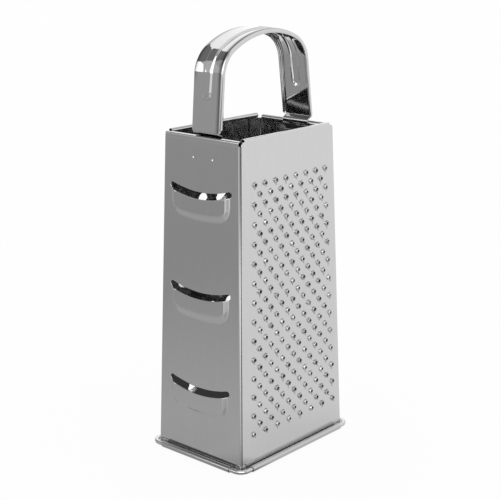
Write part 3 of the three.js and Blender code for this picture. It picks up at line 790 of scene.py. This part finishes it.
def strap_shades(at, columns, open_share):
    """Painted shade across the strap at one point of its line: in the folds of its feet and along its
    bends.
    """
    # Painted shade in the fold of each foot
    jog_shade = FRONT_JOG_SHADE if at.x < 0 else REAR_JOG_SHADE
    jog_shade *= smooth(at.y - JOG_BOTTOM) * smooth((FOLD_LEVEL - at.y) / JOG_FADE)
    far_edge = smooth((at.y - ARCH_START) / ARCH_RUN)
    near_edge = open_share * mix(1.0, ARCH_EDGE, far_edge)
    return [max(jog_shade, darkening * (far_edge if x < 0 else near_edge)) for x, _, darkening in columns]


def strap_handle():
    """The channel swept along the arch, flattened into a tongue below each of its two folds."""
    surface = Surface()
    line = strap_line()
    travelled = [0.0]
    for before, after in zip(line, line[1:]):
        travelled.append(travelled[-1] + (after - before).length)
    ribbed = [s for s, point in zip(travelled, line) if point.y >= RIB_END]
    rib_start, rib_end = ribbed[0] + RIB_HALF, ribbed[-1] - RIB_HALF
    columns = strap_columns()
    lines = []
    darkenings = []
    for i, (at, s) in enumerate(zip(line, travelled)):
        along = (line[min(i + 1, len(line) - 1)] - line[max(i - 1, 0)]).normalized()
        out = Vector((-along.y, along.x))
        open_share = smooth((at.y - FOLD_LEVEL) / FOOT_TAPER)
        tip = smooth((at.y - TONGUE_BOTTOM) / TONGUE_TIP)
        width = mix(TONGUE_HALF - TONGUE_TIP * (1 - tip), STRAP_HALF, open_share) / STRAP_HALF
        dished = WEB_DISH * smooth((at.y - RIB_END) / WEB_DISH_RUN)
        beyond = max(0.0, rib_start - s, s - rib_end)
        points = []
        for x, depth, _ in columns:
            rib = 1 - smooth((math.hypot(x, beyond) - RIB_FLAT) / (RIB_HALF - RIB_FLAT))
            dish = dished * max(0.0, 1 - (x / (STRAP_HALF - STRAP_BEND)) ** 2)
            place = at + out * (depth * open_share + RIB_HEIGHT * rib - dish)
            points.append((HANDLE_SHIFT + x * width, place.x, place.y))
        lines.append(points)
        darkenings.append(strap_shades(at, columns, open_share))
    surface.grid(lines, darkenings=darkenings)
    return surface


def node(tree, kind, **settings):
    """A new shader node with some of its settings."""
    made = tree.nodes.new(kind)
    for name, value in settings.items():
        setattr(made, name, value)
    return made


def noise(tree, coordinates, scale, stretch, detail, roughness):
    """Noise in the object's own space, stretched along its axes. Gives its factor socket."""
    mapping = node(tree, "ShaderNodeMapping")
    mapping.inputs["Scale"].default_value = stretch
    texture = node(tree, "ShaderNodeTexNoise")
    texture.inputs["Scale"].default_value = scale
    texture.inputs["Detail"].default_value = detail
    texture.inputs["Roughness"].default_value = roughness
    tree.links.new(coordinates, mapping.inputs["Vector"])
    tree.links.new(mapping.outputs["Vector"], texture.inputs["Vector"])
    return texture.outputs["Fac"]


def remap(tree, value, low, high, start=0.3, end=0.7):
    """A value between start and end spread from low to high."""
    made = node(tree, "ShaderNodeMapRange")
    made.inputs["From Min"].default_value = start
    made.inputs["From Max"].default_value = end
    made.inputs["To Min"].default_value = low
    made.inputs["To Max"].default_value = high
    tree.links.new(value, made.inputs["Value"])
    return made.outputs["Result"]


def bump(tree, height, strength, distance, normal=None):
    """Relief of a given distance in millimetres, on top of another one if its normal is given."""
    made = node(tree, "ShaderNodeBump")
    made.inputs["Strength"].default_value = strength
    made.inputs["Distance"].default_value = distance * MM
    tree.links.new(height, made.inputs["Height"])
    if normal is not None:
        tree.links.new(normal, made.inputs["Normal"])
    return made.outputs["Normal"]


def grey(tone):
    """An opaque grey."""
    return tone, tone, tone, 1


def steel(name, tone, roughness, brushed, waviness):
    """Stainless sheet: rolled grain along the brushed axis, faint smears, and slow waves in the sheet."""
    material = bpy.data.materials.new(name)
    material.use_nodes = True
    tree = material.node_tree
    shader = tree.nodes["Principled BSDF"]
    shader.inputs["Metallic"].default_value = 1.0
    coordinates = node(tree, "ShaderNodeTexCoord").outputs["Object"]
    grain = noise(tree, coordinates, stretch=brushed, **GRAIN_NOISE)
    smears = noise(tree, coordinates, **SMEAR_NOISE)
    waves = noise(tree, coordinates, **WAVE_NOISE)

    clean = node(tree, "ShaderNodeMix", data_type="RGBA")
    clean.inputs["A"].default_value = grey(tone * (1 - GRAIN_CONTRAST))
    clean.inputs["B"].default_value = grey(tone * (1 + GRAIN_CONTRAST))
    tree.links.new(remap(tree, grain, 0.0, 1.0), clean.inputs["Factor"])
    # Darkening stored at the points, mixed towards a dark grey: painted shade in creases, folds, bends,
    # weld dimples and round burrs, elsewhere a plain darkening
    darkening = node(tree, "ShaderNodeAttribute", attribute_name="darkening")
    darkened = node(tree, "ShaderNodeMix", data_type="RGBA")
    darkened.inputs["B"].default_value = grey(DARKENING_TONE)
    tree.links.new(darkening.outputs["Fac"], darkened.inputs["Factor"])
    tree.links.new(clean.outputs["Result"], darkened.inputs["A"])
    tree.links.new(darkened.outputs["Result"], shader.inputs["Base Color"])

    smeared = remap(tree, smears, roughness * SMEAR_LEAST, roughness * SMEAR_MOST)
    tree.links.new(smeared, shader.inputs["Roughness"])
    waved = bump(tree, waves, waviness, WAVE_HEIGHT)
    tree.links.new(bump(tree, grain, GRAIN_BUMP, GRAIN_HEIGHT, waved), shader.inputs["Normal"])
    return material


def piece(name, surface, material, turn=0.0, thickness=0.0):
    """Makes the mesh of a piece that stands for the CAD node of the same name, and dresses it."""
    turned = Matrix.Rotation(turn, 3, "Z")
    shape = bmesh.new()
    darkening_layer = shape.verts.layers.float.new("darkening")
    group_layer = shape.verts.layers.deform.verify()
    for point, darkening, share in zip(surface.points, surface.darkenings, surface.shares):
        vertex = shape.verts.new(turned @ Vector(point) * MM)
        vertex[darkening_layer] = darkening
        vertex[group_layer][0] = share
    shape.verts.ensure_lookup_table()
    for corners in surface.faces:
        shape.faces.new([shape.verts[i] for i in corners]).smooth = True
    for corners in surface.level_faces:
        shape.faces.new([shape.verts[i] for i in corners]).smooth = False
    bmesh.ops.remove_doubles(shape, verts=shape.verts, dist=MERGE_REACH * MM)
    bmesh.ops.dissolve_degenerate(shape, edges=shape.edges, dist=MERGE_REACH * MM)
    mesh = bpy.data.meshes.new(name + "_dressed")
    shape.to_mesh(mesh)
    shape.free()
    mesh.set_sharp_from_angle(angle=math.radians(SHARP_ANGLE))
    mesh.materials.append(material)

    made = bpy.data.objects.new(name + "_dressed", mesh)
    bpy.context.scene.collection.objects.link(made)
    made.vertex_groups.new(name="sheet")
    if thickness:
        solidify = made.modifiers.new("sheet", "SOLIDIFY")
        solidify.thickness = thickness * MM
        solidify.offset = -1.0
        solidify.vertex_group = "sheet"
    weighted = made.modifiers.new("shading", "WEIGHTED_NORMAL")
    weighted.keep_sharp = True
    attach(made, "root")
    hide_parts(name)


def card_paper():
    """Material of the studio cards, which glow by the radiance stored at their corners."""
    material = bpy.data.materials.new("studio_card")
    material.use_nodes = True
    tree = material.node_tree
    tree.nodes.remove(tree.nodes["Principled BSDF"])
    glow = node(tree, "ShaderNodeAttribute", attribute_name="glow")
    light = node(tree, "ShaderNodeEmission")
    light.inputs["Color"].default_value = grey(1)
    tree.links.new(glow.outputs["Fac"], light.inputs["Strength"])
    tree.links.new(light.outputs["Emission"], tree.nodes["Material Output"].inputs["Surface"])
    return material


def card(name, material, rows, radiances, seen=False):
    """A studio card: rows of points in metres, with the radiance at each.

    Only reflections show it, unless it is also to be seen by the camera.
    """
    columns = len(rows[0])
    faces = []
    for row in range(len(rows) - 1):
        for i in range(row * columns, (row + 1) * columns - 1):
            faces.append((i, i + 1, i + 1 + columns, i + columns))
    mesh = bpy.data.meshes.new(name)
    mesh.from_pydata([point for row in rows for point in row], [], faces)
    mesh.materials.append(material)
    glow = mesh.attributes.new("glow", "FLOAT", "POINT")
    for entry, radiance in zip(glow.data, [value for row in radiances for value in row]):
        entry.value = radiance
    made = bpy.data.objects.new(name, mesh)
    bpy.context.scene.collection.objects.link(made)
    made.visible_camera = seen
    made.visible_diffuse = False
    made.visible_shadow = False


def around(azimuth, distance, height):
    """A point of the studio in metres, by its degrees round from -Y towards +X."""
    across, back = polar(distance, azimuth - 90)
    return across, back, height


def upright_card(name, material, distance, azimuths, heights, radiance):
    """A card that stands curved round the object."""
    start, end = azimuths
    steps = math.ceil(abs(end - start) / CARD_STEP)
    turns = [mix(start, end, i / steps) for i in range(steps + 1)]
    rows = [[around(turn, distance, height) for turn in turns] for height in heights]
    card(name, material, rows, [[radiance] * len(turns)] * len(rows))


def floor_card(material):
    """Sheets round the object's foot, with the tones in which the metal sees the floor, and a dark sheet
    inside it, seen by the camera too, that is painted shade of the interior.
    """
    rows = [[around(turn, ring, FLOOR_CARD_HEIGHT) for turn in FLOOR_GLOW] for ring in FLOOR_RINGS]
    radiances = [[glow[i] for glow in FLOOR_GLOW.values()] for i in range(len(FLOOR_RINGS))]
    card("floor_card", material, rows, radiances)
    reach_x, reach_y = half_x(0) * MM, half_y(0) * MM
    rows = [[(x, y, INSIDE_CARD_HEIGHT) for x in (-reach_x, reach_x)] for y in (-reach_y, reach_y)]
    card("inside_shade_card", material, rows, [[INSIDE_SHADE_GLOW] * 2] * 2, seen=True)


def seen_rays(tree):
    """1 for rays from the camera, off metal or through glass, and 0 for the rest."""
    path = node(tree, "ShaderNodeLightPath")
    first = node(tree, "ShaderNodeMath", operation="MAXIMUM")
    second = node(tree, "ShaderNodeMath", operation="MAXIMUM")
    tree.links.new(path.outputs["Is Camera Ray"], first.inputs[0])
    tree.links.new(path.outputs["Is Glossy Ray"], first.inputs[1])
    tree.links.new(first.outputs["Value"], second.inputs[0])
    tree.links.new(path.outputs["Is Transmission Ray"], second.inputs[1])
    return second.outputs["Value"]


def white_world():
    """White background of strength 1."""
    world = bpy.data.worlds.new("studio")
    bpy.context.scene.world = world
    world.use_nodes = True
    tree = world.node_tree
    background = tree.nodes["Background"]
    background.inputs["Color"].default_value = grey(1)
    background.inputs["Strength"].default_value = 1.0


def white_floor():
    """Pale floor, seen as white, that keeps a faint shadow under the object."""
    mesh = bpy.data.meshes.new("floor")
    corners = [(x * FLOOR_REACH, y * FLOOR_REACH, 0) for x, y in ((-1, -1), (1, -1), (1, 1), (-1, 1))]
    mesh.from_pydata(corners, [], [(0, 1, 2, 3)])
    material = bpy.data.materials.new("floor_paper")
    material.use_nodes = True
    tree = material.node_tree
    tree.nodes.remove(tree.nodes["Principled BSDF"])
    paper = node(tree, "ShaderNodeBsdfDiffuse")
    paper.inputs["Color"].default_value = grey(FLOOR_TONE)
    glow = node(tree, "ShaderNodeEmission")
    glow.inputs["Strength"].default_value = 1.0
    blend = node(tree, "ShaderNodeMixShader")
    white = remap(tree, seen_rays(tree), 0.0, FLOOR_WHITE, start=0.0, end=1.0)
    tree.links.new(white, blend.inputs["Fac"])
    tree.links.new(paper.outputs["BSDF"], blend.inputs[1])
    tree.links.new(glow.outputs["Emission"], blend.inputs[2])
    tree.links.new(blend.outputs["Shader"], tree.nodes["Material Output"].inputs["Surface"])
    mesh.materials.append(material)
    floor = bpy.data.objects.new("floor", mesh)
    bpy.context.scene.collection.objects.link(floor)


def camera():
    """The camera that took the photograph."""
    azimuth, elevation, roll = (math.radians(v) for v in (VIEW_AZIMUTH, VIEW_ELEVATION, VIEW_ROLL))
    level = math.cos(elevation)
    back = Vector((math.sin(azimuth) * level, -math.cos(azimuth) * level, math.sin(elevation)))
    right = (-back).cross(Vector((0, 0, 1))).normalized()
    up = right.cross(-back)
    place = Vector((0, 0, VIEW_LEVEL)) + right * VIEW_ASIDE + back * VIEW_DISTANCE
    rolled_right = right * math.cos(roll) + up * math.sin(roll)
    rolled_up = up * math.cos(roll) - right * math.sin(roll)
    data = bpy.data.cameras.new("camera")
    data.lens = VIEW_LENS
    data.sensor_width = SENSOR_WIDTH
    data.sensor_fit = "HORIZONTAL"
    data.clip_start = VIEW_NEAREST * MM
    made = bpy.data.objects.new("camera", data)
    bpy.context.scene.collection.objects.link(made)
    turn = Matrix((rolled_right, rolled_up, back)).transposed().to_4x4()
    made.matrix_world = Matrix.Translation(place * MM) @ turn
    bpy.context.scene.camera = made


wide_steel = steel("wide_panel_steel", tone=0.64, roughness=0.1, brushed=PANEL_GRAIN, waviness=0.02)
narrow_steel = steel("narrow_panel_steel", tone=0.62, roughness=0.1, brushed=PANEL_GRAIN, waviness=0.02)
handle_steel = steel("handle_steel", tone=0.63, roughness=0.05, brushed=STRAP_GRAIN, waviness=0.02)
wire_steel = steel("wire_steel", tone=0.62, roughness=0.15, brushed=WIRE_GRAIN, waviness=0.0)

piece("fine_grating_panel", fine_panel(), wide_steel, 0.0, SHEET)
piece("coarse_shredding_panel", coarse_panel(), wide_steel, math.pi, SHEET)
piece("slicing_panel", slicing_panel(), narrow_steel, -math.pi / 2, SHEET)
piece("zesting_panel", zesting_panel(), narrow_steel, math.pi / 2, SHEET)
piece("base_wire", base_wire(), wire_steel)
piece("strap_handle", strap_handle(), handle_steel, 0.0, STRAP_SHEET)

white_world()
white_floor()
camera()
paper = card_paper()
floor_card(paper)
for card_name, settings in UPRIGHT_CARDS.items():
    upright_card(card_name, paper, *settings)

bpy.context.scene.view_settings.view_transform = "Standard"
